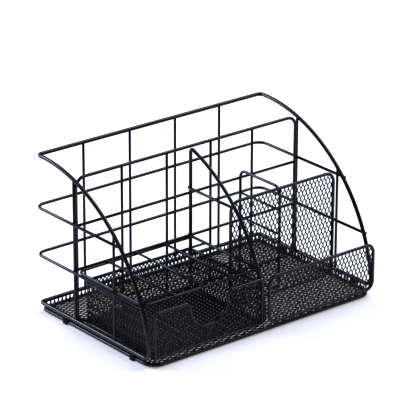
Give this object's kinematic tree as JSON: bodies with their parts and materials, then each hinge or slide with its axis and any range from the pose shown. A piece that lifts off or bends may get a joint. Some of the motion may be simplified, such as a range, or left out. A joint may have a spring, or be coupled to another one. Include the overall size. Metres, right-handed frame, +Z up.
{
  "type": "desk organizer",
  "caption": "Black wire and expanded-metal desk organizer with a file slot, wire shelf, pen bay, front tray and a sliding drawer.",
  "frame": {"origin": "bottom centre of the whole organizer, on the desk", "axes": "+X to the user's right, +Y towards the back, +Z up; the drawer slides out along -Y"},
  "size_m": [0.223, 0.1406, 0.1286],
  "materials": {
    "wire_paint": "semi-gloss",
    "sheet_mesh": "semi-gloss",
    "foot_rubber": "matt"
  },
  "bodies": {
    "organizer": {"hoop_top_rod": "wire_paint", "hoop_arc_left": "wire_paint", "hoop_arc_right": "wire_paint", "base_rim_wire": "wire_paint", "base_ring_wire": "wire_paint", "tray_mesh": "sheet_mesh", "foot_front_left": "foot_rubber", "foot_front_right": "foot_rubber", "foot_rear_left": "foot_rubber", "foot_rear_right": "foot_rubber", "upper_level_wire": "wire_paint", "lower_level_wire": "wire_paint", "back_upright_1": "wire_paint", "back_upright_2": "wire_paint", "back_upright_3": "wire_paint", "back_upright_4": "wire_paint", "side_upright_rear_left": "wire_paint", "side_upright_rear_right": "wire_paint", "side_upright_front_left": "wire_paint", "side_upright_front_right": "wire_paint", "partition_frame": "wire_paint", "partition_rail_upper": "wire_paint", "partition_rail_lower": "wire_paint", "partition_upright_1": "wire_paint", "partition_upright_2": "wire_paint", "partition_upright_3": "wire_paint", "partition_upright_4": "wire_paint", "divider_post": "wire_paint", "divider_base": "wire_paint", "divider_arc": "wire_paint", "divider_rail_upper": "wire_paint", "divider_rail_lower": "wire_paint", "pen_panel_frame": "wire_paint", "pen_panel_mesh": "sheet_mesh", "pen_divider_loop": "wire_paint", "pen_divider_rail_upper": "wire_paint", "pen_divider_rail_lower": "wire_paint", "front_panel_frame": "wire_paint", "front_panel_mesh": "sheet_mesh", "shelf_edge_wire": "wire_paint", "shelf_cross_wire_1": "wire_paint", "shelf_cross_wire_2": "wire_paint", "shelf_cross_wire_3": "wire_paint", "shelf_long_wire_1": "wire_paint", "shelf_long_wire_2": "wire_paint", "shelf_long_wire_3": "wire_paint"},
    "drawer": {"drawer_basket": "sheet_mesh", "drawer_base_wire": "wire_paint", "drawer_rim_wire": "wire_paint", "drawer_front_frame": "wire_paint", "drawer_front_mesh": "sheet_mesh"}
  },
  "joints": [
    {"name": "drawer_slide", "type": "slide", "parent": "organizer", "child": "drawer", "axis": [0, -1, 0], "range_m": [0, 0.07]}
  ]
}
